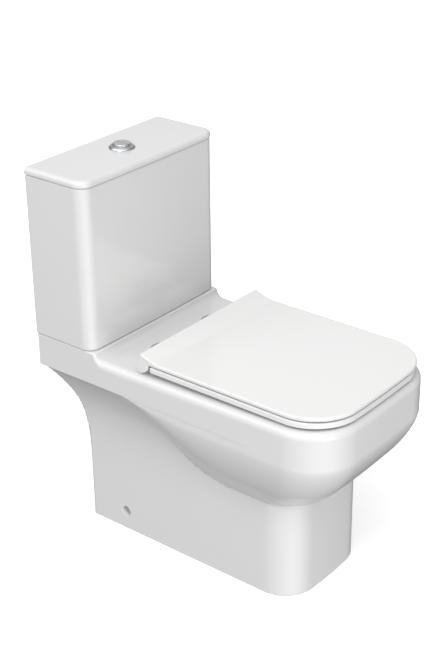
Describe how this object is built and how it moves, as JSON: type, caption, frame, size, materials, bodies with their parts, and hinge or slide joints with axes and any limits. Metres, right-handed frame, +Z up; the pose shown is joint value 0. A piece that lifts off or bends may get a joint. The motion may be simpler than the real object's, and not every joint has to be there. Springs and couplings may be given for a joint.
{
  "type": "close coupled toilet",
  "caption": "Close coupled toilet with a skirted back-to-wall pan, square cistern, dual flush button and slim soft-close seat.",
  "frame": {"origin": "on the floor, in the middle of the footprint of the bounding box", "axes": "+Z up, +Y towards the wall, -Y towards the user, +X to the right of someone facing the wall"},
  "size_m": [0.388, 0.6919, 0.79],
  "materials": {
    "vitreous_china": "gloss glaze",
    "seat_plastic": "polished thermoset",
    "chrome": "polished",
    "white_plastic": "moulded satin",
    "grey_plastic": "moulded satin",
    "blue_plastic": "moulded satin",
    "stainless": "brushed",
    "zinc_steel": "zinc plated",
    "black_rubber": "matt",
    "clear_buffer": "soft satin",
    "foam_rubber": "matt foam"
  },
  "bodies": {
    "root": {"pan": "vitreous_china", "cistern": "vitreous_china", "coupling_plate": "zinc_steel", "coupling_gasket": "foam_rubber", "coupling_bolts": "stainless", "coupling_bolt_seals": "black_rubber", "coupling_washers": "zinc_steel", "coupling_wing_nuts": "zinc_steel", "flush_valve_body": "white_plastic", "flush_valve_seal": "black_rubber", "flush_valve_nut": "white_plastic", "fill_valve_body": "white_plastic", "fill_valve_seal": "black_rubber", "fill_valve_nut": "white_plastic", "fill_valve_head": "grey_plastic", "hinge_bases": "chrome", "hinge_posts": "chrome", "hinge_bolts": "stainless", "hinge_cones": "black_rubber", "hinge_nuts": "white_plastic", "hinge_pins": "stainless", "floor_brackets": "white_plastic", "side_fixing_screws": "stainless", "side_screw_caps": "grey_plastic"},
    "seat_ring": {"seat_ring": "seat_plastic", "ring_buffers": "clear_buffer"},
    "seat_lid": {"seat_lid": "seat_plastic", "lid_buffers": "clear_buffer", "soft_close_dampers": "grey_plastic"},
    "cistern_lid": {"cistern_lid": "vitreous_china", "button_bezel": "chrome", "button_bezel_nut": "white_plastic", "button_guide": "white_plastic"},
    "full_flush": {"full_flush_button": "chrome", "full_push_rod": "white_plastic"},
    "half_flush": {"half_flush_button": "chrome", "half_push_rod": "white_plastic"},
    "flush_piston": {"overflow_tube": "white_plastic", "flush_seal": "black_rubber"},
    "float": {"float_cup": "blue_plastic"},
    "float_lever": {"float_arm": "grey_plastic"}
  },
  "joints": [
    {"name": "seat_ring_hinge", "type": "hinge", "parent": "root", "child": "seat_ring", "pos_m": [0, 0.087, 0.441], "axis": [-1, 0, 0], "range_deg": [0, 97]},
    {"name": "seat_lid_hinge", "type": "hinge", "parent": "seat_ring", "child": "seat_lid", "pos_m": [0, 0.087, 0.441], "axis": [1, 0, 0], "range_deg": [-100, 0]},
    {"name": "cistern_lid_lift", "type": "slide", "parent": "root", "child": "cistern_lid", "axis": [0, 0, 1], "range_m": [0, 0.15]},
    {"name": "full_flush_press", "type": "slide", "parent": "cistern_lid", "child": "full_flush", "axis": [0, 0, -1], "range_m": [0, 0.008], "stiffness_N_per_m": 200, "springref_m": -0.008},
    {"name": "half_flush_press", "type": "slide", "parent": "cistern_lid", "child": "half_flush", "axis": [0, 0, -1], "range_m": [0, 0.008], "stiffness_N_per_m": 200, "springref_m": -0.008},
    {"name": "flush_piston_lift", "type": "slide", "parent": "root", "child": "flush_piston", "axis": [0, 0, 1], "range_m": [0, 0.012]},
    {"name": "float_rise", "type": "slide", "parent": "root", "child": "float", "axis": [0, 0, 1], "range_m": [0, 0.03]},
    {"name": "float_lever_pivot", "type": "hinge", "parent": "root", "child": "float_lever", "pos_m": [-0.14, 0.247, 0.702], "axis": [0, -1, 0], "range_deg": [0, 40]}
  ],
  "couplings": [
    {"joint": "flush_piston_lift", "follows": "full_flush_press", "ratio": 1.5},
    {"joint": "float_lever_pivot", "follows": "float_rise", "rad_per_m": 23.215}
  ]
}
